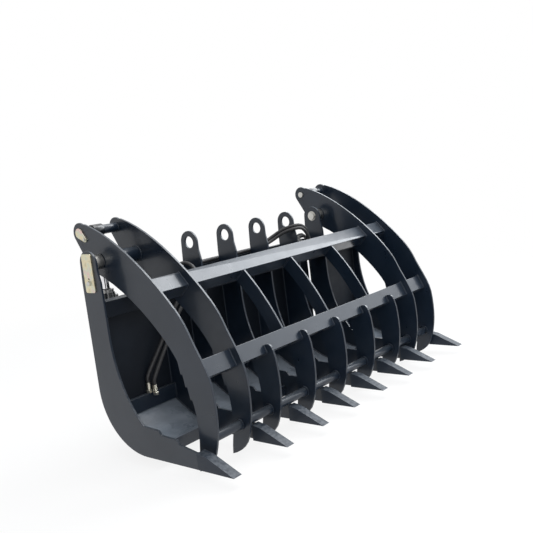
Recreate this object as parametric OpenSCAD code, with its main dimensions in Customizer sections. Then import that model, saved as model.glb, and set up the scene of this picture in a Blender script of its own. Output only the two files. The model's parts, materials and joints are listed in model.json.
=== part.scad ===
// Root rake grapple for a skid steer loader: eight J shaped tines on two square beams,
// a hinged clamp lid with four long and five short claws, and two hydraulic cylinders.
// X runs across the rake, Y runs back from the tine tips, Z is up.
// Profiles are drawn as [depth back from the tips, height over the tine soles].

/* [Frame] */
// Width between the outer faces of the two side plates
overall_w = 1829; // [1400:1:2200]
// Thickness of the side plates and of the six inner tines
plate_t = 10; // [8:0.5:16]
// Clear width of the bay between each side plate and the nearest inner tine
end_bay_w = 311.5; // [280:0.5:330]
// Distance from the tine tips to the back edge of the tines
frame_depth = 720; // [650:1:800]
// Radius of the round heel of each tine
heel_r = 252; // [200:1:280]
// Height of the pivot hole over the tine soles
pivot_h = 777; // [740:1:840]
// Distance from the back edge of the tines to the pivot hole
pivot_back = 57; // [52:1:80]
// Depth of the upright back of each tine
back_w = 120; // [110:1:130]
// Radius of the rounded ear at the top of each tine
ear_r = 52; // [46:1:58]
// Radius of the hole in each ear
ear_hole_r = 26.5; // [22:0.5:32]
// Number of teeth on the top edge of each tine
tooth_n = 2; // [1:1:3]

/* [Tine tips] */
// Width of the wedge bars at the ends of the tines
tip_w = 43.5; // [30:0.5:60]
// Length of the wedge bars
tip_len = 178; // [140:1:220]
// Height of the wedge bars at their back end
tip_h = 66; // [50:1:72]

/* [Beams and plates] */
// Side of the square tube behind the top of the tines
rear_tube = 65; // [50:1:80]
// Height of the underside of that tube
rear_tube_h = 556; // [480:1:620]
// Side of the square tube in the heel
heel_tube = 62; // [50:1:64]
// Wall of every square tube
tube_wall = 6; // [4:0.5:8]
// Thickness of the pressed heel pans
pan_t = 8; // [5:0.5:10]
// Thickness of the two end panels
panel_t = 8; // [5:0.5:10]

/* [Quick attach] */
// Width of the quick attach plate
attach_w = 1145; // [1100:1:1160]
// Height of the quick attach plate
attach_h = 460; // [420:1:480]
// Thickness of the quick attach plate
attach_t = 8; // [6:0.5:12]
// Distance between the two lock pin slots
lock_spacing = 972; // [940:1:1000]
// Length of a lock pin slot
lock_slot_l = 51; // [44:1:60]
// Width of a lock pin slot
lock_slot_w = 32; // [26:1:38]

/* [Lid] */
// Clear gap between each side plate and the outer lid plate beside it
lid_side_gap = 52.5; // [40:0.5:70]
// Clear gap between the outermost inner tine and the inner lid plate beside it
lid_tine_gap = 63; // [45:0.5:75]
// Height of the round rod over the tine soles when the lid is closed
rod_rise = 88; // [84:1:96]
// Thickness of the lid plates, claws and ribs
lid_t = 10; // [8:0.5:16]
// Distance from each inner lid plate to the nearest short claw
claw_end_gap = 183.6; // [170:0.1:200]
// Number of upper ribs, spaced evenly between the inner lid plates
rib_n = 3; // [2:1:5]
// Side of the upper square tube of the lid
top_tube = 70; // [60:1:84]
// Side of the middle square tube of the lid
mid_tube = 70; // [50:1:74]
// Radius of the round rod through the claws
rod_bar_r = 19; // [14:0.5:24]
// How far the lid opens from its closed place
lid_open = 60; // [45:1:60]

/* [Hinge and cylinders] */
// Radius of the lid pivot pins
pivot_pin_r = 20; // [16:0.5:22]
// Radius of the cylinder pins
cyl_pin_r = 15; // [12:0.5:17]
// Running clearance between a turning part and its pin
run_gap = 0.08; // [0.05:0.01:0.1]
// How far each cylinder stands outwards from the middle of its lid bay
cyl_offset = 14; // [0:1:16]
// Outer radius of the cylinder barrel
barrel_r = 32; // [28:1:36]
// Radius of the chromed rod
rod_r = 15; // [12:0.5:18]
// Length of bare rod left beside its eye when the lid is fully open
rod_spare = 57; // [20:1:70]
// Width of the eyes at both ends of a cylinder
eye_w = 50; // [40:1:56]

/* [Hoses] */
// Outer radius of a hydraulic hose
hose_r = 8.5; // [6:0.5:11]

/* [Hidden] */
$fn = 48;
fit_gap = 0.3;
outer_face = overall_w / 2;
side_x = outer_face - plate_t / 2;
inner_face = outer_face - plate_t;
tine_n = 6;
end_x = inner_face - end_bay_w - plate_t / 2;
tine_pitch = 2 * end_x / (tine_n - 1);
inner_xs = [for (i = [0:tine_n - 1]) i * tine_pitch - end_x];
lid_outer_x = inner_face - lid_side_gap - lid_t / 2;
lid_inner_x = end_x + plate_t / 2 + lid_tine_gap + lid_t / 2;
cyl_x = (lid_outer_x + lid_inner_x) / 2 + cyl_offset;
claw_n = 5;
claw_pitch = 2 * (lid_inner_x - claw_end_gap) / (claw_n - 1);
claw_xs = [for (i = [0:claw_n - 1]) (i - (claw_n - 1) / 2) * claw_pitch];
rib_pitch = 2 * lid_inner_x / (rib_n + 1);
rib_xs = [for (i = [1:rib_n]) i * rib_pitch - lid_inner_x];

// Helpers
module placed() translate([0, -depth_all / 2, claw_drop]) children();
function bez(a, b, c, d, n) = [for (i = [0:n]) let (t = i / n, s = 1 - t)
  s*s*s*a + 3*s*s*t*b + 3*s*t*t*c + t*t*t*d];
function arc(c, r, a0, a1, n) = [for (i = [0:n]) let (a = a0 + (a1 - a0) * i / n) c + r * [cos(a), sin(a)]];
function rev(v) = [for (i = [len(v) - 1:-1:0]) v[i]];

// A flat plate in the Y-Z plane, centred on x
module slab(x, t) translate([x - t / 2, 0, 0]) rotate([90, 0, 90]) linear_extrude(t) children();
// A round bar along X from x0 to x1 through c
module bar(c, r, x0, x1) translate([x0, c[0], c[1]]) rotate([0, 90, 0]) cylinder(r = r, h = x1 - x0);
module ring(c, r, hole, x0, x1) difference() {
  bar(c, r, x0, x1);
  bar(c, hole, x0 - 1, x1 + 1);
}
module both() {
  children();
  mirror([1, 0, 0]) children();
}

// Places that the frame and the lid share
pivot_c = [frame_depth - pivot_back, pivot_h];
// The lid's profile is drawn for a pivot at [663, 777] and a rod 88 over the soles. It follows the real ones
lid_k = (pivot_h - rod_rise) / 689;
function lp(y, z) = pivot_c + lid_k * [y - 663, z - 777];
lid_tip = lp(243, -43);
claw_drop = max(0, -lid_tip[1]);
crown_c = pivot_c + [112, 118];
crown_r = 43;
depth_all = crown_c[0] + crown_r;

// Frame
throat_y = frame_depth - back_w;
heel_c = [frame_depth - heel_r, heel_r];
tooth_top = heel_c - [2, 125];
tooth_run = 14;
tooth_slope = 5;
// The teeth end here, and a straight slope runs on to the wedge bars
tooth_foot = [tip_len + 90, tip_h + 17];
tooth_pitch = (tooth_top[0] - tooth_foot[0]) / tooth_n;
tooth_drop = (tooth_top[1] - tooth_foot[1]) / tooth_n;
rear_tube_y = throat_y - 2;
heel_tube_c = [throat_y + 20, heel_r / 2 + 1];

module tine_shape() difference() {
  polygon(concat(
    [[tip_len, 0]],
    arc(heel_c, heel_r, -90, 0, 20),
    [[frame_depth, pivot_h - ear_r - 25]],
    arc(pivot_c, ear_r, 0, 180, 20),
    [pivot_c - [ear_r, 32], [throat_y + 1, pivot_h - 78]],
    bez([throat_y, pivot_h - 277], [throat_y + 2, pivot_h - 397], [throat_y - 30, heel_c[1] - 22],
      tooth_top, 10),
    [for (i = [0:tooth_n - 1]) each [
      tooth_top - [(i + 1) * tooth_pitch - tooth_run, i * tooth_drop + tooth_slope],
      tooth_top - [(i + 1) * tooth_pitch, (i + 1) * tooth_drop]]],
    [[tip_len, tip_h]]));
  translate(pivot_c) circle(ear_hole_r + fit_gap);
}

module rake_tine(i) color("dimgray") placed() slab(inner_xs[i - 1], plate_t) difference() {
  tine_shape();
  translate([rear_tube_y - 50, rear_tube_h]) square([rear_tube + 50, rear_tube]);
  translate(heel_tube_c) square(heel_tube);
}
module side_plate(s) color("dimgray") placed() slab(s * side_x, plate_t) tine_shape();
module side_plate_left() side_plate(-1);
module side_plate_right() side_plate(1);

module tip_bar(x0) translate([x0, 0, 0]) rotate([90, 0, 90]) linear_extrude(tip_w)
  polygon([[0, 0], [tip_len, 0], [tip_len, tip_h], [tip_len - 45, tip_h - 9]]);
module tine_tips() color("dimgray") placed() {
  for (x = inner_xs) tip_bar(x - tip_w / 2);
  both() tip_bar(-outer_face);
}

module tube_x(c, s, w, half) translate([-half, c[0], c[1]]) rotate([90, 0, 90]) linear_extrude(2 * half)
  difference() {
    square(s);
    translate([w, w]) square(s - 2 * w);
  }
module rear_beam() color("dimgray") placed()
  tube_x([rear_tube_y, rear_tube_h], rear_tube, tube_wall, inner_face);
module heel_beam() color("dimgray") placed() tube_x(heel_tube_c, heel_tube, tube_wall, inner_face);

pan_front = heel_c[0] - 68;
pan_top = bez(heel_tube_c + [12, 0], [pan_front + 160, 75], [pan_front + 80, 25], [pan_front, 52], 12);
module pan(x0, x1) translate([x0, 0, 0]) rotate([90, 0, 90]) linear_extrude(x1 - x0)
  polygon(concat(pan_top, [[pan_front, 3], [pan_front + pan_t, 3]],
    [for (p = rev(pan_top)) if (p[0] > pan_front + pan_t) p - [0, pan_t]]));
module heel_pans() color("dimgray") placed() {
  for (i = [0:tine_n - 2]) pan(inner_xs[i] + plate_t / 2, inner_xs[i + 1] - plate_t / 2);
  both() pan(-inner_face, -end_x - plate_t / 2);
}

panel_y = throat_y + 40;
module end_panels() color("dimgray") placed() both()
  translate([-inner_face, panel_y, heel_tube_c[1] + heel_tube])
    cube([inner_face - end_x - plate_t / 2, panel_t, rear_tube_h - heel_tube_c[1] - heel_tube]);

attach_z = pivot_h - 122 - attach_h;
ledge_l = 75;
hook_l = 28;
lip_l = 10;
lip_drop = 14;
slot_y = 48;
module attach_plate() color("dimgray") placed() difference() {
  translate([-attach_w / 2, 0, 0]) rotate([90, 0, 90]) linear_extrude(attach_w) translate([frame_depth, 0])
    polygon([[0, attach_z], [ledge_l + attach_t, attach_z], [ledge_l + attach_t, attach_z + attach_t],
      [attach_t, attach_z + attach_t], [attach_t, attach_z + attach_h - attach_t],
      [hook_l - 4, attach_z + attach_h - attach_t], [hook_l + lip_l - 6, attach_z + attach_h - lip_drop - 6],
      [hook_l + lip_l, attach_z + attach_h - lip_drop], [hook_l, attach_z + attach_h],
      [0, attach_z + attach_h]]);
  for (s = [-1, 1]) translate([s * lock_spacing / 2, frame_depth + attach_t + slot_y, attach_z - 1])
    linear_extrude(attach_t + 2) {
      square([lock_slot_l - lock_slot_w, lock_slot_w], center = true);
      for (e = [-1, 1]) translate([e * (lock_slot_l - lock_slot_w) / 2, 0]) circle(lock_slot_w / 2);
    }
}

// Hinge
flag_t = 6;
pin_tail = 8;
module pivot_pins() color("silver") placed() both()
  bar(pivot_c, pivot_pin_r, -outer_face, -end_x + plate_t / 2 + pin_tail);
bush_play = 2;
bush_r = ear_hole_r + 4.5;
module bush(x_out, x_in, s) {
  ring(pivot_c, ear_hole_r, pivot_pin_r + run_gap, min(x_out, x_in), max(x_out, x_in));
  ring(pivot_c, bush_r, pivot_pin_r + run_gap, min(x_in, s), max(x_in, s));
}
module pivot_bushes() color("silver") placed() both() {
  bush(-outer_face, -inner_face, -lid_outer_x - lid_t / 2 - bush_play);
  bush(-end_x + plate_t / 2, -end_x - plate_t / 2, -lid_inner_x + lid_t / 2 + bush_play);
}
flag_half = 30;
flag_up = 40;
flag_down = 117;
flag_round = 9;
flag_bolt_drop = 78;
flag_hole_drop = 61;
// A keeper plate is welded over the end of each pivot pin and bolted to the side plate
module pivot_flags() color("gold") placed() both() slab(-outer_face - flag_t / 2, flag_t) translate(pivot_c)
  difference() {
    polygon(concat(
      arc([flag_half - flag_round, flag_up - flag_round], flag_round, 0, 90, 4),
      arc([flag_round - flag_half, flag_up - flag_round], flag_round, 90, 180, 4),
      arc([flag_round - flag_half, flag_round - flag_down], flag_round, 180, 270, 4),
      arc([flag_half - flag_round, flag_round - flag_down], flag_round, 270, 360, 4)));
    translate([0, -flag_hole_drop]) circle(4);
    translate([0, -flag_bolt_drop]) circle(6);
  }
module hex_bolt(r, shank, l, head) {
  cylinder(r = shank, h = l);
  translate([0, 0, l]) cylinder(r = r, h = head, $fn = 6);
}
module flag_bolts() color("silver") placed() both()
  translate([-outer_face, pivot_c[0], pivot_c[1] - flag_bolt_drop]) rotate([0, -90, 0])
    hex_bolt(10, 5.7, flag_t, 7);

// Cylinder mounts
base_back = 30;
base_rise = 46;
base_c = [frame_depth + base_back, heel_tube_c[1] + heel_tube + base_rise];
// The open pivot: this eye is bored wide enough for the way the fixed ratios drift from the true arc
base_play = 13;
base_hole_r = cyl_pin_r + base_play;
base_eye_r = base_hole_r + 10;
lug_gap = barrel_r + 3;
lug_t = 12;
lug_r = 34;
lug_up = 95;
lug_down = 45;
module cylinder_lugs() color("dimgray") placed() both() for (s = [-1, 1])
  slab(-cyl_x + s * (lug_gap + lug_t / 2), lug_t) difference() {
    polygon(concat([[panel_y + panel_t, base_c[1] + lug_up], [panel_y + panel_t, base_c[1] - lug_down]],
      arc(base_c, lug_r, -60, 60, 12)));
    translate(base_c) circle(cyl_pin_r + fit_gap);
  }
module base_pins() color("silver") placed() both()
  bar(base_c, cyl_pin_r, -cyl_x - lug_gap - lug_t - pin_tail, -cyl_x + lug_gap + lug_t + pin_tail);
washer_l = lug_gap - eye_w / 2 - 0.5;
washer_mid = lug_gap - washer_l / 2;
module base_washers() color("silver") placed() both() for (s = [-1, 1])
  ring(base_c, base_eye_r - 2, cyl_pin_r + fit_gap, -cyl_x + washer_mid * s - washer_l / 2,
    -cyl_x + washer_mid * s + washer_l / 2);

// Lid
function tube_at(p, q, s) = let (d = (q - p) / norm(q - p), n = [d[1], -d[0]])
  [p, p + s * d, p + s * d + s * n, p + s * n];
top_box = tube_at(lp(367, 645), lp(414, 697), top_tube);
mid_box = tube_at(lp(158.5, 329), lp(188, 392.5), mid_tube);
rod_c = lp(182, 88);

bite = [lp(284, 388), lp(231, 242)];
bite_n = 3;
bite_in = 10;
front_low = concat(
  bez(lp(208, 508), lp(172, 420), lp(117, 360), lp(115, 270), 7),
  bez(lp(115, 270), lp(108, 180), lp(117, 105), lp(144, 40), 7),
  bez(lp(144, 40), lp(160, -5), lp(205, -33), lid_tip, 5));
claw_in = bez(lp(238, -5), lp(216, 90), lp(212, 170), bite[1], 7);
// Saw teeth along the inner edge of the claws, from low to high
saw = [for (i = [0:bite_n - 1]) each [
  bite[1] + (bite[0] - bite[1]) * i / bite_n + [bite_in, -2],
  bite[1] + (bite[0] - bite[1]) * (i + 1) / bite_n]];
// The back edge is the common tangent of the crown and of a rounded corner behind the pivot
back_c = pivot_c + [42, -8];
back_r = 38;
crown_arm = crown_c - back_c;
back_a = atan2(crown_arm[1], crown_arm[0]) - acos((back_r - crown_r) / norm(crown_arm));

module lid_shape() difference() {
  polygon(concat(
    arc(crown_c, crown_r, back_a, 130, 14),
    bez(lp(742, 931), lp(511, 864), lp(253, 609), lp(208, 508), 14),
    front_low, claw_in, saw,
    rev(bez(lp(662, 711), lp(464, 622), lp(320, 456), bite[0], 10)),
    arc(back_c, back_r, -64, back_a, 6)));
  translate(pivot_c) circle(pivot_pin_r + run_gap);
  translate(crown_c) circle(cyl_pin_r + fit_gap);
}
module lid_plate_outer(s) color("dimgray") placed() slab(s * lid_outer_x, lid_t) lid_shape();
module lid_plate_inner(s) color("dimgray") placed() slab(s * lid_inner_x, lid_t) difference() {
  lid_shape();
  polygon(top_box);
  polygon(mid_box);
  translate(rod_c) circle(rod_bar_r + fit_gap);
}
module lid_plate_outer_left() lid_plate_outer(-1);
module lid_plate_outer_right() lid_plate_outer(1);
module lid_plate_inner_left() lid_plate_inner(-1);
module lid_plate_inner_right() lid_plate_inner(1);

claw_end = lp(154, 341);
claw_round = 24;
module lid_claw(i) color("dimgray") placed() slab(claw_xs[i - 1], lid_t) difference() {
  intersection() {
    lid_shape();
    polygon(concat([lp(60, -60), lp(300, -60), lp(300, 322), lp(235, 322), lp(190, 352)],
      arc(claw_end, claw_round, 20, 170, 8), [lp(60, 345)]));
  }
  polygon(mid_box);
  translate(rod_c) circle(rod_bar_r + fit_gap);
}
// The ribs run from the underside of the upper tube to the top of the middle tube
module lid_rib(i) color("dimgray") placed() slab(rib_xs[i - 1], lid_t) polygon(concat(
  bez(top_box[0], lp(295, 569), lp(236, 485), mid_box[1], 10),
  rev(bez(top_box[3], lp(351, 528), lp(295, 450), mid_box[2], 10))));

module tube_box(b, w, half) translate([-half, 0, 0]) rotate([90, 0, 90]) linear_extrude(2 * half)
  difference() {
    polygon(b);
    polygon([for (i = [0:3]) let (c = (b[0] + b[2]) / 2, s = norm(b[1] - b[0]))
      c + (b[i] - c) * (1 - 2 * w / s)]);
  }
lid_half = lid_outer_x - lid_t / 2;
module top_bar() color("dimgray") placed() tube_box(top_box, tube_wall, lid_half);
module mid_bar() color("dimgray") placed() tube_box(mid_box, tube_wall, lid_half);
module lower_rod() color("dimgray") placed() bar(rod_c, rod_bar_r, -lid_half, lid_half);
collar_r = rod_bar_r + 5;
collar_l = 8;
module rod_collars() color("dimgray") placed() {
  for (x = concat([-lid_inner_x, lid_inner_x], claw_xs), s = [-1, 1])
    ring(rod_c, collar_r, rod_bar_r + fit_gap, x + s * (lid_t + collar_l) / 2 - collar_l / 2,
      x + s * (lid_t + collar_l) / 2 + collar_l / 2);
  for (s = [-1, 1]) ring(rod_c, collar_r, rod_bar_r + fit_gap, s * (lid_half - collar_l / 2) - collar_l / 2,
    s * (lid_half - collar_l / 2) + collar_l / 2);
}
pivot_tube_r = pivot_pin_r + 13;
module pivot_tubes() color("dimgray") placed() both()
  ring(pivot_c, pivot_tube_r, pivot_pin_r + run_gap, -lid_half, -lid_inner_x - lid_t / 2);
module rod_pins() color("silver") placed() both()
  bar(crown_c, cyl_pin_r, -lid_outer_x - lid_t / 2, -lid_inner_x + lid_t / 2 + pin_tail);
eye_play = 6;
boss_r = cyl_pin_r + 5;
module pin_bosses() color("dimgray") placed() both() {
  ring(crown_c, boss_r, cyl_pin_r + fit_gap, -lid_half, -cyl_x - eye_w / 2 - eye_play);
  ring(crown_c, boss_r, cyl_pin_r + fit_gap, -cyl_x + eye_w / 2 + eye_play, -lid_inner_x - lid_t / 2);
}
// Pear shaped keepers on the upper cylinder pins
keeper_r = cyl_pin_r + 6;
keeper_end_r = 10.5;
keeper_end = [-36, -27];
keeper_a = atan2(keeper_end[1], keeper_end[0]);
keeper_turn = acos((keeper_r - keeper_end_r) / norm(keeper_end));
module rod_flags() color("gold") placed() both() slab(-lid_outer_x - (lid_t + flag_t) / 2, flag_t)
  translate(crown_c) difference() {
    polygon(concat(arc([0, 0], keeper_r, keeper_a + keeper_turn, keeper_a + 360 - keeper_turn, 16),
      arc(keeper_end, keeper_end_r, keeper_a - keeper_turn, keeper_a + keeper_turn, 8)));
    translate(keeper_end) circle(3.5);
  }
module rod_flag_bolts() color("silver") placed() both()
  translate([-lid_outer_x - lid_t / 2, crown_c[0] + keeper_end[0], crown_c[1] + keeper_end[1]])
    rotate([0, -90, 0]) hex_bolt(6.5, 3.2, flag_t, 5);

// Cylinders
cyl_v = crown_c - base_c;
cyl_len = norm(cyl_v);
cyl_lean = atan2(cyl_v[0], cyl_v[1]);
pin_arm = crown_c - pivot_c;
open_pin = pivot_c + [pin_arm[0] * cos(lid_open) + pin_arm[1] * sin(lid_open),
  pin_arm[1] * cos(lid_open) - pin_arm[0] * sin(lid_open)];
short_len = norm(open_pin - base_c);
stroke = cyl_len - short_len;
neck_l = 8;
gland_lip = 14;
rod_eye_r = cyl_pin_r + 12;
tube_start = base_eye_r + 20;
tube_end = short_len - rod_eye_r - neck_l - gland_lip - rod_spare - 9;
bore_r = barrel_r - 6;
piston_h = 30;
rod_reach = short_len - tube_start - 4;
// Puts a part, drawn up the cylinder's own axis from the base pin, in its place
module cyl_at(s) translate([s * cyl_x, base_c[0], base_c[1]]) rotate([-cyl_lean, 0, 0]) children();
module eye(r, hole) rotate([0, 90, 0]) difference() {
  cylinder(r = r, h = eye_w, center = true);
  cylinder(r = hole, h = eye_w + 2, center = true);
}
module cyl_rod(s) color("silver") placed() cyl_at(s) translate([0, 0, cyl_len - rod_reach])
  cylinder(r = rod_r, h = rod_reach - rod_eye_r - neck_l);
module cyl_rod_eye(s) color("dimgray") placed() cyl_at(s) translate([0, 0, cyl_len]) difference() {
  union() {
    eye(rod_eye_r, cyl_pin_r + run_gap);
    translate([0, 0, -rod_eye_r - neck_l]) cylinder(r1 = rod_r, r2 = rod_r + 3, h = neck_l + 6);
  }
  rotate([0, 90, 0]) cylinder(r = cyl_pin_r + run_gap, h = eye_w + 2, center = true);
}
module cyl_piston(s) color("gray") placed() cyl_at(s) translate([0, 0, cyl_len - rod_reach]) difference() {
  cylinder(r = bore_r - run_gap, h = piston_h);
  translate([0, 0, -1]) cylinder(r = rod_r, h = piston_h + 2);
}
module cyl_barrel(s) color("dimgray") placed() cyl_at(s) difference() {
  union() {
    eye(base_eye_r, base_hole_r);
    translate([0, 0, base_eye_r - 9]) cylinder(r = eye_w / 2 - 1, h = 22);
    translate([0, 0, base_eye_r + 10]) cylinder(r = barrel_r, h = tube_end - base_eye_r - 10);
  }
  translate([0, 0, tube_start]) cylinder(r = bore_r, h = tube_end);
  rotate([0, 90, 0]) cylinder(r = base_hole_r, h = eye_w + 2, center = true);
}
module cyl_gland(s) color("gray") placed() cyl_at(s) difference() {
  union() {
    translate([0, 0, tube_end - 20]) cylinder(r = bore_r, h = 20);
    translate([0, 0, tube_end]) cylinder(r = barrel_r - 3, h = gland_lip);
  }
  translate([0, 0, tube_end - 21]) cylinder(r = rod_r + run_gap, h = 40);
}
port_r = 11;
port_reach = barrel_r + 16;
port_zs = [tube_start + 16, tube_start + 58];
feed_r = 5;
feed_top = tube_end - 20;
// The base port opens straight into the barrel. A thin pipe feeds the rod end from a port beside it
module cyl_ports(s) color("gray") placed() cyl_at(s) difference() {
  union() {
    for (z = port_zs) translate([0, 0, z]) rotate([0, -90 * s, 0]) cylinder(r = port_r, h = port_reach);
    translate([0, 0, feed_top]) rotate([0, -90 * s, 0]) cylinder(r = port_r, h = barrel_r + 14);
    translate([-s * (barrel_r + 7), 0, port_zs[1]]) cylinder(r = feed_r, h = feed_top - port_zs[1]);
  }
  cylinder(r = barrel_r, h = cyl_len);
}
module rod_left() cyl_rod(-1);
module rod_right() cyl_rod(1);
module rod_eye_left() cyl_rod_eye(-1);
module rod_eye_right() cyl_rod_eye(1);
module piston_left() cyl_piston(-1);
module piston_right() cyl_piston(1);
module barrel_left() cyl_barrel(-1);
module barrel_right() cyl_barrel(1);
module gland_left() cyl_gland(-1);
module gland_right() cyl_gland(1);
module ports_left() cyl_ports(-1);
module ports_right() cyl_ports(1);

// Hoses
// A tube swept along a route: one ring of sides at each point, and a centre point at each end
function unit(v) = v / norm(v);
module sweep(pts, r, n = 8) {
  m = len(pts);
  dirs = [for (i = [0:m - 1]) unit(pts[min(i + 1, m - 1)] - pts[max(i - 1, 0)])];
  rings = [for (i = [0:m - 1]) let (d = dirs[i], u = unit(cross(d, abs(d[2]) > 0.8 ? [0, 1, 0] : [0, 0, 1])),
    v = cross(d, u)) each [for (k = [0:n - 1]) pts[i] + r * (cos(360 * k / n) * u + sin(360 * k / n) * v)]];
  polyhedron(points = concat(rings, [pts[0], pts[m - 1]]), faces = concat(
    [for (i = [0:m - 2], k = [0:n - 1]) each [
      [i * n + k, i * n + (k + 1) % n, (i + 1) * n + k],
      [(i + 1) * n + k, i * n + (k + 1) % n, (i + 1) * n + (k + 1) % n]]],
    [for (k = [0:n - 1]) [m * n, (k + 1) % n, k]],
    [for (k = [0:n - 1]) [m * n + 1, (m - 1) * n + k, (m - 1) * n + (k + 1) % n]]));
}
// A smooth curve through the route points, with steps points in each stretch
function smooth(p, steps) = let (m = len(p)) concat(
  [for (i = [0:m - 2], j = [0:steps - 1]) let (t = j / steps, a = p[max(i - 1, 0)], b = p[i], c = p[i + 1],
    d = p[min(i + 2, m - 1)])
    0.5 * (2 * b + (c - a) * t + (2 * a - 5 * b + 4 * c - d) * t * t + (3 * b - a - 3 * c + d) * t * t * t)],
  [p[m - 1]]);
function along(z) = [base_c[0] + z * sin(cyl_lean), base_c[1] + z * cos(cyl_lean)];
port_x = cyl_x - port_reach - 1;
port_lo = along(port_zs[0]);
port_hi = along(port_zs[1]);
function flip(p) = [for (q = rev(p)) [-q[0], q[1], q[2]]];
// Each cross hose climbs from a port behind the end panel to the top edge of the quick attach plate
upper_rise = [[-port_x, port_hi[0], port_hi[1]], [12 - port_x, port_hi[0], port_hi[1]], [-690, 755, 354],
  [-668, 756, 370], [-654, 757, 402], [-650, 757, 450], [-642, 754, 600], [-620, 750, 652], [-582, 747, 677],
  [-540, 748, 674]];
lower_rise = [[-port_x, port_lo[0], port_lo[1]], [14 - port_x, port_lo[0], port_lo[1]], [-684, 751, 311],
  [-656, 748, 330], [-636, 743, 368], [-629, 739, 420], [-624, 733, 585], [-610, 731, 638], [-578, 729, 668],
  [-540, 729, 669]];
// On the right both hoses stand up in a slack loop in front of an ear
upper_route = concat(upper_rise, [[-500, 752, 676], [-450, 752, 682], [-425, 751, 684], [-395, 751, 684],
  [-360, 749, 676], [-320, 747, 667], [-260, 747, 664.3], [-20, 747, 664.3], [130, 747, 664.3], [190, 746, 666],
  [235, 738, 680], [280, 712, 706], [312, 655, 740], [340, 598, 755], [370, 574, 750], [402, 570, 722],
  [426, 588, 685], [444, 620, 656], [460, 658, 646], [476, 700, 660], [500, 736, 671]], flip(upper_rise));
lower_route = concat(lower_rise, [[-500, 729, 669], [-448, 729, 668.8], [-412, 729, 665.2], [-370, 729, 664.3],
  [-200, 729, 664.3], [0, 729, 664.3], [130, 729, 664.3], [188, 727, 665.5], [230, 720, 673], [276, 698, 693],
  [304, 647, 724], [330, 590, 740], [358, 564, 737], [388, 562, 709], [422, 573, 672], [452, 607, 641],
  [476, 651, 636], [495, 692, 654], [513, 720, 667]], flip(lower_rise));
module hose_cross_upper() color("black") placed() sweep(smooth(upper_route, 2), hose_r);
module hose_cross_lower() color("black") placed() sweep(smooth(lower_route, 2), hose_r);

// Two supply hoses leave the cross hoses at tees, pass over the rear tube and hang in the left bay
tee_r = 12.5;
tee_l = 36;
tee_hole_r = hose_r + 0.9;
branch_r = 8;
branch_l = 26;
tee_upper = [-410, 751, 684];
tee_lower = [-470, 729, 669];
module tee(c) translate(c) difference() {
  union() {
    rotate([0, 90, 0]) cylinder(r = tee_r, h = tee_l, center = true);
    rotate([90, 0, 0]) cylinder(r = branch_r, h = branch_l);
  }
  rotate([0, 90, 0]) cylinder(r = tee_hole_r, h = tee_l + 2, center = true);
}
module hose_tees() color("silver") placed() {
  tee(tee_upper);
  tee(tee_lower);
}
end_l = 44;
end_foot = heel_tube_c[1] + heel_tube + fit_gap;
// The first end hangs just in front of the heel tube, the second stands over it
ends = [[-end_x - 130, heel_tube_c[0] - 15, end_foot - 11.3], [-end_x - 145, heel_tube_c[0] + 8, end_foot]];
// The hose leaves its end straight up
function above(p, h) = p + [0, 0, end_l + fit_gap + h];
// The hanging part of each tail moves sideways with the outermost tine
tail_shift = end_x - 588;
function tail(route) = [for (p = route) p - [tail_shift * max(0, min(1, (-p[0] - 440) / 148)), 0, 0]];
tail_1 = concat([above(ends[0], 0), above(ends[0], 8), above(ends[0], 18)], tail([
  [-706, 603, 264], [-689, 600, 292], [-670, 597, 322], [-652, 593, 351], [-633, 588, 382], [-613, 582, 415],
  [-592, 577, 449], [-566, 575, 484], [-534, 576, 517], [-498, 574, 546], [-464, 573, 577], [-436, 573, 612],
  [-417, 580, 648], [-411, 606, 678], [-410, 645, 692], [-410, 680, 688], [-410, 702, 684]]),
  [[tee_upper[0], tee_upper[1] - branch_l - fit_gap, tee_upper[2]]]);
tail_2 = concat([above(ends[1], 0), above(ends[1], 8), above(ends[1], 18)], tail([
  [-722, 627, 272], [-704, 622, 300], [-684, 617, 330], [-664, 611, 360], [-645, 605, 391], [-628, 598, 423],
  [-610, 592, 456], [-589, 586, 490], [-564, 584, 523], [-534, 582, 554], [-508, 578, 588], [-486, 578, 625],
  [-474, 598, 658], [-470, 634, 676], [-470, 664, 673], [-470, 685, 669]]),
  [[tee_lower[0], tee_lower[1] - branch_l - fit_gap, tee_lower[2]]]);
module hose_tail_1() color("black") placed() sweep(smooth(tail_1, 2), hose_r);
module hose_tail_2() color("black") placed() sweep(smooth(tail_2, 2), hose_r);
// Swivel ends: a plain sleeve over a hexagon nut
module hose_ends() color("gold") placed() for (p = ends) translate(p) {
  cylinder(r = 13, h = 14, $fn = 6);
  translate([0, 0, 14]) cylinder(r = 10.5, h = end_l - 14);
}

side_plate_left();
side_plate_right();
rake_tine(1);  // rake_tine_1
rake_tine(2);  // rake_tine_2
rake_tine(3);  // rake_tine_3
rake_tine(4);  // rake_tine_4
rake_tine(5);  // rake_tine_5
rake_tine(6);  // rake_tine_6
tine_tips();
rear_beam();
heel_beam();
heel_pans();
end_panels();
attach_plate();
pivot_pins();
pivot_bushes();
pivot_flags();
flag_bolts();
cylinder_lugs();
base_pins();
base_washers();
lid_plate_outer_left();
lid_plate_inner_left();
lid_plate_inner_right();
lid_plate_outer_right();
lid_claw(1);  // lid_claw_1
lid_claw(2);  // lid_claw_2
lid_claw(3);  // lid_claw_3
lid_claw(4);  // lid_claw_4
lid_claw(5);  // lid_claw_5
lid_rib(1);  // lid_rib_1
lid_rib(2);  // lid_rib_2
lid_rib(3);  // lid_rib_3
top_bar();
mid_bar();
lower_rod();
rod_collars();
pivot_tubes();
rod_pins();
pin_bosses();
rod_flags();
rod_flag_bolts();
rod_left();
rod_right();
rod_eye_left();
rod_eye_right();
piston_left();
piston_right();
barrel_left();
barrel_right();
gland_left();
gland_right();
ports_left();
ports_right();
hose_cross_upper();
hose_cross_lower();
hose_tail_1();
hose_tail_2();
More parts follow.
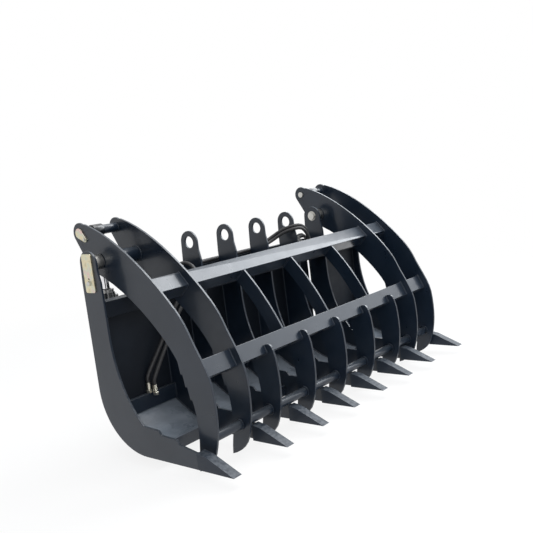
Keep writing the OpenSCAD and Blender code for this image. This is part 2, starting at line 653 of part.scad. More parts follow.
hose_tees();
hose_ends();
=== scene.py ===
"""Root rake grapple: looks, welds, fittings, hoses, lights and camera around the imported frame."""

import bpy
import json
import math
from mathutils import Matrix, Vector


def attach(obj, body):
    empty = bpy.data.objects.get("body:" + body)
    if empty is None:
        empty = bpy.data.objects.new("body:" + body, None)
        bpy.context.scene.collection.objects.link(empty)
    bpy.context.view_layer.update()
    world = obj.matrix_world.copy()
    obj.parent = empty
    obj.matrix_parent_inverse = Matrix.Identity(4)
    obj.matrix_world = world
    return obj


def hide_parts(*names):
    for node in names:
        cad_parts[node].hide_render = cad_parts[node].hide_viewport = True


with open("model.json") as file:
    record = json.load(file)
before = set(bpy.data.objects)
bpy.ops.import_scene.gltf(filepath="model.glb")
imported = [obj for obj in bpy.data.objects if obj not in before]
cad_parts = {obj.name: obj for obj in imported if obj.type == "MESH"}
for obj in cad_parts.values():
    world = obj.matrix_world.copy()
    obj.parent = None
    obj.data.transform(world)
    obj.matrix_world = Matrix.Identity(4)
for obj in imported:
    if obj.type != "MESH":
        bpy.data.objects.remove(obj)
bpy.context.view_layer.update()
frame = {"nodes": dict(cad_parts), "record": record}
bpy.context.scene.view_settings.view_transform = "Standard"

MM = 0.001
DEPTH_MID = 409.0  # half of the overall depth, mm
CLAW_DROP = 43.0  # height of the tine soles over the claw tips, mm


def at(x, y, z):
    """A point from the part's own millimetres (across, back from the tips, over the soles), in metres."""
    return Vector((x, y - DEPTH_MID, z + CLAW_DROP)) * MM


# Sizes shared with the part, in its own millimetres
PLATE_T = 10.0
HALF_T = PLATE_T / 2
INNER_FACE = 904.5
END_X = 588.0
TINE_PITCH = 235.2
CLAW_PITCH = 238.7
RIB_PITCH = 330.5
LID_OUTER_X = 847.0
LID_INNER_X = 661.0
LID_HALF = LID_OUTER_X - HALF_T
CYL_X = 768.0
RIB_XS = [(i - 1) * RIB_PITCH for i in range(3)]
INNER_XS = [(i - 2.5) * TINE_PITCH for i in range(6)]
CLAW_XS = [(i - 2) * CLAW_PITCH for i in range(5)]
PIVOT = (663.0, 777.0)
CROWN = (775.0, 895.0)
BASE = (750.0, 235.0)
PIVOT_TUBE_R = 33.0
BOSS_R = 20.0
BACK_Y = 720.0
PANEL_Y = 640.0
PANEL_T = 8.0
REAR_BOX = [(598.0, 556.0), (598.0, 621.0), (663.0, 621.0), (663.0, 556.0)]
HEEL_BOX = [(620.0, 127.0), (620.0, 189.0), (682.0, 189.0), (682.0, 127.0)]
ATTACH_LOW, ATTACH_TOP = 195.0, 655.0
TIP_BACK = (178.0, 66.0)


# Camera
def make_camera():
    cam = bpy.data.objects.new("camera", bpy.data.cameras.new("camera"))
    bpy.context.scene.collection.objects.link(cam)
    right = Vector((0.641688, -0.756995, -0.123271))
    up = Vector((0.179916, -0.007669, 0.983652))
    back = right.cross(up).normalized()
    up = back.cross(right).normalized()
    cam.matrix_world = Matrix((
        (right.x, up.x, back.x, 0), (right.y, up.y, back.y, 0), (right.z, up.z, back.z, 0), (0, 0, 0, 1)))
    cam.location = at(-2597.95, -1749.79, 1056.04)
    cam.data.lens = 48.665
    cam.data.sensor_width = 36.0
    cam.data.clip_end = 100
    bpy.context.scene.camera = cam


make_camera()


# Materials
def new_material(name):
    m = bpy.data.materials.new(name)
    m.use_nodes = True
    return m, m.node_tree.nodes, m.node_tree.links, m.node_tree.nodes["Principled BSDF"]


def noise(nodes, links, scale, detail=3.0, coord=None):
    n = nodes.new("ShaderNodeTexNoise")
    n.inputs["Scale"].default_value = scale
    n.inputs["Detail"].default_value = detail
    if coord is None:
        coord = nodes.new("ShaderNodeTexCoord").outputs["Object"]
    links.new(coord, n.inputs["Vector"])
    return n


def ramp(nodes, links, fac, stops):
    r = nodes.new("ShaderNodeValToRGB")
    while len(r.color_ramp.elements) < len(stops):
        r.color_ramp.elements.new(0.5)
    for e, (pos, col) in zip(r.color_ramp.elements, stops):
        e.position = pos
        e.color = (*col, 1) if len(col) == 3 else col
    links.new(fac, r.inputs["Fac"])
    return r


def bump(nodes, links, height, strength, distance, bsdf):
    b = nodes.new("ShaderNodeBump")
    b.inputs["Strength"].default_value = strength
    b.inputs["Distance"].default_value = distance
    links.new(height, b.inputs["Height"])
    links.new(b.outputs["Normal"], bsdf.inputs["Normal"])


# Painted top light: a pale tint laid on the faces that look up, in place of light from above
TOP_LIGHT_TINT = (0.085, 0.097, 0.112)
# Faces whose upward share lies between these two go from no painted top light to full painted top light
TOP_LIGHT_FROM, TOP_LIGHT_FULL = 0.35, 0.95
# Scale of the patches of painted top light, and how much of it is left where they are faintest; on the tips
# the fine patches also mottle the surface
WIDE_CLOUDS, FINE_CLOUDS = (9.0, 0.55), (70.0, 0.12)


def times(nodes, links, a, b):
    """The product of a socket and another socket or a number."""
    product = nodes.new("ShaderNodeMath")
    product.operation = "MULTIPLY"
    links.new(a, product.inputs[0])
    if isinstance(b, float):
        product.inputs[1].default_value = b
    else:
        links.new(b, product.inputs[1])
    return product.outputs[0]


def painted_top_light(nodes, links, color, amount, clouds, pale):
    """Painted top light: a pale tint on the faces that look up, stronger in some places than in others."""
    normal = nodes.new("ShaderNodeSeparateXYZ")
    links.new(nodes.new("ShaderNodeTexCoord").outputs["Normal"], normal.inputs[0])
    up = nodes.new("ShaderNodeMapRange")
    up.interpolation_type = "SMOOTHSTEP"
    up.inputs["From Min"].default_value = TOP_LIGHT_FROM
    up.inputs["From Max"].default_value = TOP_LIGHT_FULL
    links.new(normal.outputs["Z"], up.inputs["Value"])
    scale, faintest = clouds
    cloud = noise(nodes, links, scale, 6.0).outputs["Fac"]
    light_patches = ramp(nodes, links, cloud, [(0.36, (faintest,) * 3), (0.62, (1, 1, 1))]).outputs["Color"]
    share = times(nodes, links, times(nodes, links, up.outputs["Result"], light_patches), amount)
    mix = nodes.new("ShaderNodeMix")
    mix.data_type = "RGBA"
    mix_share, mix_under, mix_over = mix.inputs[0], mix.inputs[6], mix.inputs[7]
    links.new(share, mix_share)
    links.new(color, mix_under)
    mix_over.default_value = (*(c * pale for c in TOP_LIGHT_TINT), 1)
    return mix.outputs[2]


def paint(name, low, high, rough, spec, coat=0.0, peel=0.06, top_light_amount=0.0, clouds=WIDE_CLOUDS, pale=1.0):
    """Glossy paint with slight tone changes, a fine orange peel and, where asked for, painted top light on
    the faces that look up.
    """
    m, nodes, links, bsdf = new_material(name)
    tone = noise(nodes, links, 5.0)
    col = ramp(nodes, links, tone.outputs["Fac"], [(0.35, low), (0.7, high)]).outputs["Color"]
    # Painted top light on the upward faces
    if top_light_amount:
        col = painted_top_light(nodes, links, col, top_light_amount, clouds, pale)
    links.new(col, bsdf.inputs["Base Color"])
    patch = noise(nodes, links, 17.0, 5.0)
    r = ramp(nodes, links, patch.outputs["Fac"], [(0.3, (rough * 0.85,) * 3), (0.75, (rough * 1.2,) * 3)])
    links.new(r.outputs["Color"], bsdf.inputs["Roughness"])
    bsdf.inputs["Specular IOR Level"].default_value = spec
    bsdf.inputs["Coat Weight"].default_value = coat
    bsdf.inputs["Coat Roughness"].default_value = 0.12
    fine = noise(nodes, links, 420.0, 2.0)
    bump(nodes, links, fine.outputs["Fac"], peel, 0.0006, bsdf)
    return m


def metal(name, low, high, rough, scale=60.0, stretch=None):
    """Bare or plated metal with tone patches and fine tool marks."""
    m, nodes, links, bsdf = new_material(name)
    bsdf.inputs["Metallic"].default_value = 1.0
    coord = nodes.new("ShaderNodeTexCoord").outputs["Object"]
    if stretch:
        mapping = nodes.new("ShaderNodeMapping")
        mapping.inputs["Scale"].default_value = stretch
        links.new(coord, mapping.inputs["Vector"])
        coord = mapping.outputs["Vector"]
    n = noise(nodes, links, scale, 4.0, coord)
    col = ramp(nodes, links, n.outputs["Fac"], [(0.3, low), (0.7, high)])
    links.new(col.outputs["Color"], bsdf.inputs["Base Color"])
    r = ramp(nodes, links, n.outputs["Fac"], [(0.2, (rough * 0.8,) * 3), (0.8, (rough * 1.3,) * 3)])
    links.new(r.outputs["Color"], bsdf.inputs["Roughness"])
    bump(nodes, links, n.outputs["Fac"], 0.12, 0.0005, bsdf)
    return m


def chromate(name, rough):
    """Yellow zinc plating: patches of straw, green and pink over fine scratches."""
    m, nodes, links, bsdf = new_material(name)
    bsdf.inputs["Metallic"].default_value = 1.0
    cloud = noise(nodes, links, 26.0, 5.0)
    col = ramp(nodes, links, cloud.outputs["Fac"], [
        (0.32, (0.44, 0.43, 0.30)), (0.46, (0.68, 0.60, 0.42)),
        (0.56, (0.56, 0.59, 0.47)), (0.68, (0.66, 0.50, 0.45))])
    links.new(col.outputs["Color"], bsdf.inputs["Base Color"])
    fine = noise(nodes, links, 160.0, 4.0)
    r = ramp(nodes, links, fine.outputs["Fac"], [(0.25, (rough * 0.7,) * 3), (0.75, (rough * 1.4,) * 3)])
    links.new(r.outputs["Color"], bsdf.inputs["Roughness"])
    bump(nodes, links, fine.outputs["Fac"], 0.15, 0.0005, bsdf)
    return m


def rubber(name):
    m, nodes, links, bsdf = new_material(name)
    n = noise(nodes, links, 90.0, 4.0)
    col = ramp(nodes, links, n.outputs["Fac"], [(0.3, (0.010, 0.010, 0.011)), (0.75, (0.028, 0.028, 0.03))])
    links.new(col.outputs["Color"], bsdf.inputs["Base Color"])
    bsdf.inputs["Roughness"].default_value = 0.55
    weave = nodes.new("ShaderNodeTexVoronoi")
    weave.inputs["Scale"].default_value = 700.0
    links.new(nodes.new("ShaderNodeTexCoord").outputs["Object"], weave.inputs["Vector"])
    bump(nodes, links, weave.outputs["Distance"], 0.25, 0.0006, bsdf)
    return m


NAVY, PALE_NAVY = (0.006, 0.012, 0.022), (0.011, 0.018, 0.030)
# Darker copy of the navy for the parts deep inside the frame: painted shade
SHADED_NAVY, PALE_SHADED_NAVY = (0.004, 0.006, 0.010), (0.007, 0.010, 0.015)
BLACK, PALE_BLACK = (0.006, 0.008, 0.011), (0.010, 0.013, 0.017)
M = {
    # Each paint below sets its own amount of painted top light on its upward faces
    "frame_paint": paint("frame_paint", NAVY, PALE_NAVY, 0.34, 0.38, coat=0.25, peel=0.035, top_light_amount=0.65),
    "lid_paint": paint("lid_paint", NAVY, PALE_NAVY, 0.32, 0.38, coat=0.25, peel=0.035, top_light_amount=0.6),
    # Painted shade: the frame paint made darker and less glossy for the end panels, attach plate, rear beam
    # and cylinder lugs
    "shaded_inner_paint": paint("shaded_inner_paint", SHADED_NAVY, PALE_SHADED_NAVY, 0.5, 0.16, top_light_amount=0.7),
    # Painted light: the pans get a stronger and paler painted top light than the rest of the frame
    "top_lit_pan_paint": paint("top_lit_pan_paint", NAVY, PALE_NAVY, 0.30, 0.4, coat=0.3, peel=0.035, top_light_amount=1.0, pale=1.9),
    "tip_paint": paint(
        "tip_paint", NAVY, PALE_NAVY, 0.46, 0.34, coat=0.1, peel=0.3, top_light_amount=0.7, clouds=FINE_CLOUDS),
    "weld_paint": paint("weld_paint", NAVY, PALE_NAVY, 0.42, 0.35, peel=0.2, top_light_amount=0.5),
    "cylinder_paint": paint("cylinder_paint", BLACK, PALE_BLACK, 0.28, 0.4, coat=0.3),
    "pin_steel": metal("pin_steel", (0.42, 0.42, 0.40), (0.60, 0.59, 0.56), 0.34),
    "zinc_plate": chromate("zinc_plate", 0.34),
    "rod_chrome": metal("rod_chrome", (0.72, 0.72, 0.74), (0.80, 0.80, 0.82), 0.08, 30.0, (1, 1, 12)),
    "gland_steel": metal("gland_steel", (0.34, 0.34, 0.34), (0.48, 0.48, 0.47), 0.36),
    "zinc_bright": metal("zinc_bright", (0.52, 0.50, 0.42), (0.72, 0.70, 0.62), 0.28, 45.0),
    "hose_rubber": rubber("hose_rubber"),
    "seal": rubber("seal"),
}
# Nodes whose paint differs from that of the rest of their slot: darker and duller inside the frame (painted
# shade), paler on the pans (stronger painted top light), rougher on the tips
LOOK_OF = {
    "end_panels": "shaded_inner_paint", "attach_plate": "shaded_inner_paint", "rear_beam": "shaded_inner_paint",
    "cylinder_lugs": "shaded_inner_paint", "heel_pans": "top_lit_pan_paint", "tine_tips": "tip_paint"}

SLOT_OF = {s["node"]: s["material_slot"] for s in frame["record"]["subparts"]}
EDGE_ROUND = 0.0014
SOFT_EDGES = {"frame_paint", "lid_paint", "cylinder_paint", "zinc_plate", "pin_steel"}


def dress_nodes():
    """Materials on every CAD node, and on the painted, plated and pin nodes other than hoses a small
    rounding of their edges, cut inwards.
    """
    for name, obj in frame["nodes"].items():
        slot = SLOT_OF[name]
        obj.data.materials.clear()
        obj.data.materials.append(M[LOOK_OF.get(name, slot)])
        if slot in SOFT_EDGES and not name.startswith("hose"):
            weld = obj.modifiers.new("weld", "WELD")
            weld.merge_threshold = 0.00002
            bevel = obj.modifiers.new("bevel", "BEVEL")
            bevel.width = EDGE_ROUND
            bevel.segments = 2
            bevel.limit_method = "ANGLE"
            bevel.angle_limit = math.radians(40)
            bevel.use_clamp_overlap = True
            bevel.harden_normals = False


dress_nodes()


# Mesh helpers
def add_mesh(name, verts, faces, material, body, slot, smooth=True):
    me = bpy.data.meshes.new(name)
    me.from_pydata([tuple(v) for v in verts], [], faces)
    me.update()
    for p in me.polygons:
        p.use_smooth = smooth
    me.materials.append(M[material])
    obj = bpy.data.objects.new(name, me)
    bpy.context.scene.collection.objects.link(obj)
    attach(obj, body)
    return obj


def tube(path, radii, sides, closed=False):
    """Vertices and faces of a tube along the path, with one radius for each point."""
    n = len(path)
    verts, faces = [], []
    side = None
    for i, p in enumerate(path):
        a = path[(i - 1) % n] if closed else path[max(i - 1, 0)]
        b = path[(i + 1) % n] if closed else path[min(i + 1, n - 1)]
        d = (b - a).normalized()
        if side is None:
            side = d.cross(Vector((0, 0, 1)) if abs(d.z) < 0.8 else Vector((0, 1, 0))).normalized()
        side = (side - d * side.dot(d)).normalized()
        other = d.cross(side)
        for k in range(sides):
            t = 2 * math.pi * k / sides
            verts.append(p + (side * math.cos(t) + other * math.sin(t)) * radii[i])
    for i in range(n if closed else n - 1):
        j = (i + 1) % n
        for k in range(sides):
            after = (k + 1) % sides
            faces.append((i * sides + k, i * sides + after, j * sides + after, j * sides + k))
    if not closed:
        faces.append(tuple(range(sides - 1, -1, -1)))
        faces.append(tuple((n - 1) * sides + k for k in range(sides)))
    return verts, faces


def resample(path, step, closed=False):
    """Points at about even steps along a path."""
    pts = list(path) + ([path[0]] if closed else [])
    out = []
    for a, b in zip(pts, pts[1:]):
        n = max(1, round((b - a).length / step))
        out += [a.lerp(b, i / n) for i in range(n)]
    return out if closed else out + [pts[-1]]


class Batch:
    """Collects many small shapes of one material and body into one piece."""

    def __init__(self):
        self.verts, self.faces = [], []

    def add(self, verts, faces):
        base = len(self.verts)
        self.verts += verts
        self.faces += [tuple(i + base for i in f) for f in faces]

    def make(self, name, material, body, slot, smooth=True):
        return add_mesh(name, self.verts, self.faces, material, body, slot, smooth)


BEAD_STEP = 0.0028


def bead(batch, path, r, closed=False):
    """A weld bead: a tube whose radius ripples along the seam."""
    pts = resample(path, BEAD_STEP, closed)
    radii = [r * (0.86 + 0.2 * abs(math.sin(i * math.pi / 4))) for i in range(len(pts))]
    batch.add(*tube(pts, radii, 8, closed))


def box_corners(p, q, side):
    """Corners of a square tube whose front face runs from p to q, as the part draws it."""
    d = (Vector(q) - Vector(p)).normalized()
    n = Vector((d.y, -d.x))
    a = Vector(p)
    return [a, a + d * side, a + d * side + n * side, a + n * side]


TOP_BOX = box_corners((367, 645), (414, 697), 70.0)
MID_BOX = box_corners((158.5, 329), (188, 392.5), 70.0)


def seam_box(batch, x, corners, r):
    """A bead round a square tube, where it meets the plate face at x."""
    bead(batch, [at(x, *c) for c in corners], r, closed=True)


def seam_ring(batch, x, c, radius, r):
    """A bead round a turned piece, where it meets the plate face at x."""
    points = 40
    turns = [2 * math.pi * i / points for i in range(points)]
    ring = [at(x, c[0] + radius * math.cos(t), c[1] + radius * math.sin(t)) for t in turns]
    bead(batch, ring, r, closed=True)


# Hoses
HOSE_R = 8.5
LEAN = math.atan2(CROWN[0] - BASE[0], CROWN[1] - BASE[1])
PORT_X = 719.0
PORT_ZS = (74.0, 116.0)
ENDS = ((-END_X - 130, 605.0, 178.0), (-END_X - 145, 628.0, 189.3))
END_L = 44.0
TEE_UPPER, TEE_LOWER = (-410.0, 751.0, 684.0), (-470.0, 729.0, 669.0)
BRANCH_L, SEAT_GAP = 26.0, 0.3


def along(z):
    """Depth and height of a place z up the cylinders from their base pins."""
    return BASE[0] + z * math.sin(LEAN), BASE[1] + z * math.cos(LEAN)


def flip(p):
    """The same points on the right, in reverse order."""
    return [(-x, y, z) for x, y, z in reversed(p)]


PORT_LO, PORT_HI = along(PORT_ZS[0]), along(PORT_ZS[1])
UPPER_RISE = [
    (-PORT_X, *PORT_HI), (12 - PORT_X, *PORT_HI), (-690, 755, 354), (-668, 756, 370), (-654, 757, 402),
    (-650, 757, 450), (-642, 754, 600), (-620, 750, 652), (-582, 747, 677), (-540, 748, 674)]
LOWER_RISE = [
    (-PORT_X, *PORT_LO), (14 - PORT_X, *PORT_LO), (-684, 751, 311), (-656, 748, 330), (-636, 743, 368),
    (-629, 739, 420), (-624, 733, 585), (-610, 731, 638), (-578, 729, 668), (-540, 729, 669)]
UPPER = UPPER_RISE + [
    (-500, 752, 676), (-450, 752, 682), (-425, 751, 684), (-395, 751, 684), (-360, 749, 676),
    (-320, 747, 667), (-260, 747, 664.3), (-20, 747, 664.3), (130, 747, 664.3), (190, 746, 666),
    (235, 738, 680), (280, 712, 706), (312, 655, 740), (340, 598, 755), (370, 574, 750), (402, 570, 722),
    (426, 588, 685), (444, 620, 656), (460, 658, 646), (476, 700, 660), (500, 736, 671)] + flip(UPPER_RISE)
LOWER = LOWER_RISE + [
    (-500, 729, 669), (-448, 729, 668.8), (-412, 729, 665.2), (-370, 729, 664.3), (-200, 729, 664.3),
    (0, 729, 664.3), (130, 729, 664.3), (188, 727, 665.5), (230, 720, 673), (276, 698, 693),
    (304, 647, 724), (330, 590, 740), (358, 564, 737), (388, 562, 709), (422, 573, 672), (452, 607, 641),
    (476, 651, 636), (495, 692, 654), (513, 720, 667)] + flip(LOWER_RISE)


def above(p, h):
    """A place h over the top of a hose end."""
    return p[0], p[1], p[2] + END_L + SEAT_GAP + h


def branch_end(tee):
    """The mouth of a tee's branch, which points forwards."""
    return tee[0], tee[1] - BRANCH_L - SEAT_GAP, tee[2]


TAIL_1 = [above(ENDS[0], h) for h in (0, 8, 18)] + [
    (-706, 603, 264), (-689, 600, 292), (-670, 597, 322), (-652, 593, 351), (-633, 588, 382),
    (-613, 582, 415), (-592, 577, 449), (-566, 575, 484), (-534, 576, 517), (-498, 574, 546),
    (-464, 573, 577), (-436, 573, 612), (-417, 580, 648), (-411, 606, 678), (-410, 645, 692),
    (-410, 680, 688), (-410, 702, 684), branch_end(TEE_UPPER)]
TAIL_2 = [above(ENDS[1], h) for h in (0, 8, 18)] + [
    (-722, 627, 272), (-704, 622, 300), (-684, 617, 330), (-664, 611, 360), (-645, 605, 391),
    (-628, 598, 423), (-610, 592, 456), (-589, 586, 490), (-564, 584, 523), (-534, 582, 554),
    (-508, 578, 588), (-486, 578, 625), (-474, 598, 658), (-470, 634, 676), (-470, 664, 673),
    (-470, 685, 669), branch_end(TEE_LOWER)]


def smooth_route(p, steps):
    """The part's own curve through the route points."""
    out, m = [], len(p)
    for i in range(m - 1):
        a, b, c, d = p[max(i - 1, 0)], p[i], p[i + 1], p[min(i + 2, m - 1)]
        for j in range(steps):
            t = j / steps
            out.append(0.5 * (2 * b + (c - a) * t + (2 * a - 5 * b + 4 * c - d) * t * t
                              + (3 * b - a - 3 * c + d) * t ** 3))
    return out + [p[-1]]


def route_of(points):
    """The places of the part's own rings, in metres."""
    return smooth_route([at(*q) for q in points], 2)


def path_length(path):
    return sum((b - a).length for a, b in zip(path, path[1:]))


def hose(name, node, points):
    """A rubber hose over the CAD's own route, with a round section."""
    path = route_of(points)
    obj = add_mesh(name, *tube(path, [HOSE_R * MM] * len(path), 20), "hose_rubber", "frame", "hose_rubber")
    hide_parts(node)
    tuple(path[0])
    path_length(path)
    return obj


def lathe(profile, sides, place, axis):
    """A turned shape: (distance along the axis, radius) pairs, mm, from a place along a unit axis."""
    path = [Vector(place) + Vector(axis) * (z * MM) for z, _ in profile]
    d = Vector(axis)
    side = d.cross(Vector((0, 0, 1)) if abs(d.z) < 0.8 else Vector((0, 1, 0))).normalized()
    other = d.cross(side)
    verts, faces = [], []
    for p, (_, r) in zip(path, profile):
        for k in range(sides):
            t = 2 * math.pi * k / sides
            verts.append(p + (side * math.cos(t) + other * math.sin(t)) * (r * MM))
    for i in range(len(profile) - 1):
        for k in range(sides):
            after = (k + 1) % sides
            faces.append((
                i * sides + k, i * sides + after, (i + 1) * sides + after, (i + 1) * sides + k))
    faces.append(tuple(range(sides - 1, -1, -1)))
    faces.append(tuple((len(profile) - 1) * sides + k for k in range(sides)))
    return verts, faces


def hose_end(name, place):
    """A swivel nut, a waisted neck and a crimped sleeve with four rings pressed into it."""
    foot = at(*place)
    b = Batch()
    b.add(*lathe([(0, 11.2), (1, 12.8), (12.6, 12.8), (13.8, 11.0)], 6, foot, (0, 0, 1)))
    b.add(*lathe([(13.8, 8.2), (17.0, 8.2)], 24, foot, (0, 0, 1)))
    rings = [(17.0, 9.6), (18.0, 10.5)]
    for i in range(4):
        z = 20.5 + i * 5.2
        rings += [(z, 10.5), (z + 0.8, 9.7), (z + 2.6, 9.7), (z + 3.4, 10.5)]
    rings += [(END_L - 1.0, 10.5), (END_L, 9.6)]
    b.add(*lathe(rings, 32, foot, (0, 0, 1)))
    return b.make(name, "zinc_bright", "frame", "zinc_plate", smooth=False)


def make_hoses():
    ends = [hose_end("hose_end_1", ENDS[0]), hose_end("hose_end_2", ENDS[1])]
    for e in ends:
        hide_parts("hose_ends")
    hose("hose_upper", "hose_cross_upper", UPPER)
    hose("hose_lower", "hose_cross_lower", LOWER)
    hose("hose_supply_1", "hose_tail_1", TAIL_1[::-1])
    hose("hose_supply_2", "hose_tail_2", TAIL_2[::-1])


make_hoses()


# Welds
BEAD_R = 0.0042
THIN_BEAD = 0.0032


def seam_line(batch, x, points, r=BEAD_R):
    bead(batch, [at(x, *q) for q in points], r)


def weld_lid():
    b = Batch()
    for s in (-1, 1):
        for corners in (TOP_BOX, MID_BOX):
            seam_box(b, s * LID_HALF, corners, BEAD_R)
            for e in (-1, 1):
                seam_box(b, s * LID_INNER_X + e * HALF_T, corners, BEAD_R)
        for x in (s * LID_HALF, s * (LID_INNER_X + HALF_T)):
            seam_ring(b, x, PIVOT, PIVOT_TUBE_R, BEAD_R)
            seam_ring(b, x, CROWN, BOSS_R, THIN_BEAD)
    p, q, v, u = (Vector(c) for c in MID_BOX)
    for x in CLAW_XS:
        for e in (-1, 1):
            seam_line(b, x + e * HALF_T, [p.lerp(q, 0.5), p, u, u.lerp(v, 0.35)])
    for x in RIB_XS:
        for e in (-1, 1):
            seam_line(b, x + e * HALF_T, [TOP_BOX[0], TOP_BOX[3]])
            seam_line(b, x + e * HALF_T, [MID_BOX[1], MID_BOX[2]])
    b.make("lid_welds", "weld_paint", "lid", "lid_paint")


def bezier(a, b, c, d, n):
    """Points of a cubic curve, as the part draws it."""
    a, b, c, d = (Vector(p) for p in (a, b, c, d))
    out = []
    for i in range(n + 1):
        t = i / n
        s = 1 - t
        out.append(s ** 3 * a + 3 * s * s * t * b + 3 * s * t * t * c + t ** 3 * d)
    return out


# Distances of a lug's two faces from the middle of its cylinder, and of its foot's ends from the base pin
LUG_FACES = (35.0, 47.0)
LUG_DOWN, LUG_UP = 44.0, 94.0
# How far the beads stop short of the rear beam's front, the attach plate's ends and the soles
BEAM_SHORT, ATTACH_SHORT, SOLE_SHORT = 3.0, 8.0, 2.0
PAN_TOP = bezier((632, 127), (560, 75), (480, 25), (400, 52), 12)


def weld_frame():
    b = Batch()
    panel_back = PANEL_Y + PANEL_T
    lug_foot = [(panel_back, BASE[1] - LUG_DOWN), (panel_back, BASE[1] + LUG_UP)]
    beam_front = REAR_BOX[0][0] + BEAM_SHORT
    beam_low, beam_top, heel_top = REAR_BOX[0][1], REAR_BOX[1][1], HEEL_BOX[1][1]
    attach_seam = [(BACK_Y, ATTACH_LOW + ATTACH_SHORT), (BACK_Y, ATTACH_TOP - ATTACH_SHORT)]
    tip_seam = [(TIP_BACK[0], SOLE_SHORT), TIP_BACK]
    faces = [x + e * HALF_T for x in INNER_XS for e in (-1, 1)] + [-INNER_FACE, INNER_FACE]
    for x in faces:
        seam_line(b, x, [(beam_front, beam_top), REAR_BOX[2], REAR_BOX[3], (beam_front, beam_low)])
        seam_box(b, x, HEEL_BOX, BEAD_R)
        seam_line(b, x, PAN_TOP)
    for x in INNER_XS[1:-1]:
        for e in (-1, 1):
            seam_line(b, x + e * HALF_T, attach_seam)
    for s in (-1, 1):
        for x in (s * INNER_FACE, s * (END_X + HALF_T)):
            for y in (PANEL_Y, panel_back):
                seam_line(b, x, [(y, heel_top), (y, beam_low)], THIN_BEAD)
        for e in (-1, 1):
            for face in LUG_FACES:
                seam_line(b, s * (CYL_X + e * face), lug_foot, THIN_BEAD)
    for x in INNER_XS:
        for e in (-1, 1):
            seam_line(b, x + e * HALF_T, tip_seam, THIN_BEAD)
    for s in (-1, 1):
        seam_line(b, s * INNER_FACE, tip_seam, THIN_BEAD)
    b.make("frame_welds", "weld_paint", "frame", "frame_paint")


weld_lid()
weld_frame()


# Small fittings
WIPER_Z = 408.0
WIPER = [(0, 15.2), (0, 17.6), (3.0, 17.0), (4.2, 15.2)]
PORT_SLEEVE = [(0.4, 9.6), (1.2, 10.8), (10.0, 10.8), (11.0, 9.6)]


def make_fittings():
    """Crimped sleeves where the cross hoses leave the ports, and wiper rings on the glands."""
    b = Batch()
    for s in (-1, 1):
        for z in PORT_ZS:
            y, h = along(z)
            place = at(s * PORT_X, y, h)
            b.add(*lathe(PORT_SLEEVE, 24, place, (-s, 0, 0)))
    b.make("port_sleeves", "zinc_bright", "frame", "zinc_plate", smooth=False)
    for s, side in ((-1, "left"), (1, "right")):
        g = Batch()
        axis = Vector((0, math.sin(LEAN), math.cos(LEAN)))
        base = at(s * CYL_X, *BASE)
        g.add(*lathe(WIPER, 32, base + axis * (WIPER_Z * MM), axis))
        g.make("wiper_" + side, "seal", "barrel_body_" + side, "hose_rubber")


make_fittings()


# Floor, world and lamps
def light_path_mix(nodes, links, plain, shown):
    """What camera, glossy and transmission rays see is shown, and all other rays see the plain one."""
    path = nodes.new("ShaderNodeLightPath")
    seen = nodes.new("ShaderNodeMath")
    seen.operation = "MAXIMUM"
    links.new(path.outputs["Is Camera Ray"], seen.inputs[0])
    links.new(path.outputs["Is Glossy Ray"], seen.inputs[1])
    any_seen = nodes.new("ShaderNodeMath")
    any_seen.operation = "MAXIMUM"
    links.new(seen.outputs[0], any_seen.inputs[0])
    links.new(path.outputs["Is Transmission Ray"], any_seen.inputs[1])
    mix = nodes.new("ShaderNodeMixShader")
    links.new(any_seen.outputs[0], mix.inputs["Fac"])
    links.new(plain, mix.inputs[1])
    links.new(shown, mix.inputs[2])
    return mix.outputs[0]


def make_world():
    world = bpy.data.worlds.new("studio")
    bpy.context.scene.world = world
    world.use_nodes = True
    nodes, links = world.node_tree.nodes, world.node_tree.links
    plain = nodes["Background"]
    plain.inputs["Color"].default_value = (0.86, 0.92, 1.0, 1)
    plain.inputs["Strength"].default_value = 0.42
    shown = nodes.new("ShaderNodeBackground")
    shown.inputs["Color"].default_value = (1, 1, 1, 1)
    shown.inputs["Strength"].default_value = 1.0
    links.new(light_path_mix(nodes, links, plain.outputs[0], shown.outputs[0]),
              nodes["World Output"].inputs["Surface"])


FLOOR_HALF = 30.0
# Within the first reach the floor takes the part's shadow. From the second on it is plain white
SHADOW_REACH, WHITE_REACH = 1.9, 4.2
NEAR_GLOW = 0.86


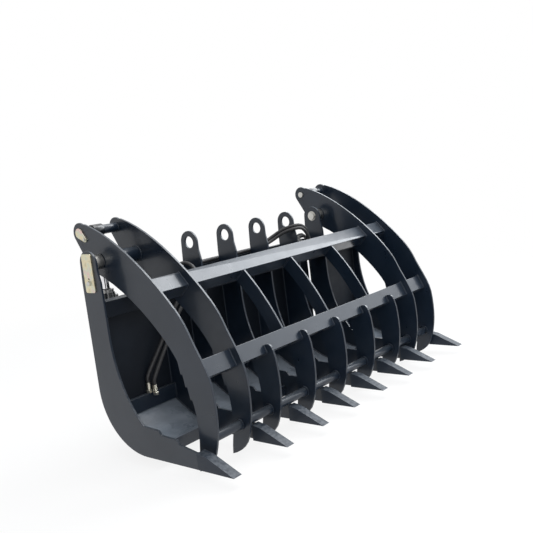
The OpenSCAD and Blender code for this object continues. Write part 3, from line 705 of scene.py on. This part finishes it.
def make_floor():
    h = FLOOR_HALF
    me = bpy.data.meshes.new("floor")
    me.from_pydata([(-h, -h, 0), (h, -h, 0), (h, h, 0), (-h, h, 0)], [], [(0, 1, 2, 3)])
    floor = bpy.data.objects.new("floor", me)
    bpy.context.scene.collection.objects.link(floor)
    m, nodes, links, bsdf = new_material("floor")
    bsdf.inputs["Base Color"].default_value = (0.82, 0.82, 0.82, 1)
    bsdf.inputs["Roughness"].default_value = 0.9
    bsdf.inputs["Specular IOR Level"].default_value = 0.0
    glow = nodes.new("ShaderNodeEmission")
    glow.inputs["Strength"].default_value = 1.0
    soft = nodes.new("ShaderNodeMixShader")
    reach = nodes.new("ShaderNodeVectorMath")
    reach.operation = "LENGTH"
    links.new(nodes.new("ShaderNodeTexCoord").outputs["Object"], reach.inputs[0])
    far = nodes.new("ShaderNodeMapRange")
    far.inputs["From Min"].default_value = SHADOW_REACH
    far.inputs["From Max"].default_value = WHITE_REACH
    far.inputs["To Min"].default_value = NEAR_GLOW
    far.inputs["To Max"].default_value = 1.0
    links.new(reach.outputs["Value"], far.inputs["Value"])
    links.new(far.outputs["Result"], soft.inputs["Fac"])
    links.new(bsdf.outputs[0], soft.inputs[1])
    links.new(glow.outputs[0], soft.inputs[2])
    links.new(light_path_mix(nodes, links, bsdf.outputs[0], soft.outputs[0]),
              nodes["Material Output"].inputs["Surface"])
    me.materials.append(m)


def area_light(name, place, target, size, power, color=(1, 1, 1)):
    data = bpy.data.lights.new(name, "AREA")
    data.shape = "RECTANGLE"
    data.size, data.size_y = size
    data.energy = power
    data.color = color
    lamp = bpy.data.objects.new(name, data)
    bpy.context.scene.collection.objects.link(lamp)
    lamp.location = place
    lamp.rotation_euler = (Vector(target) - Vector(place)).to_track_quat("-Z", "Y").to_euler()


make_world()
make_floor()
area_light("right_high", (3.6, -1.0, 4.0), (0, 0, 0.5), (3.0, 3.4), 225, (0.93, 0.965, 1.0))
area_light("right_low", (3.7, -2.8, 2.3), (0, 0, 0.4), (3.0, 2.4), 50, (0.90, 0.95, 1.0))
area_light("right_back", (3.5, 1.8, 2.8), (0, 0, 0.2), (1.8, 1.5), 30, (0.92, 0.96, 1.0))
area_light("front_left", (-2.6, -3.4, 2.6), (0, 0, 0.4), (2.2, 2.2), 60)
area_light("overhead", (0.2, -0.4, 4.2), (0, 0, 0.4), (3.0, 3.0), 125)
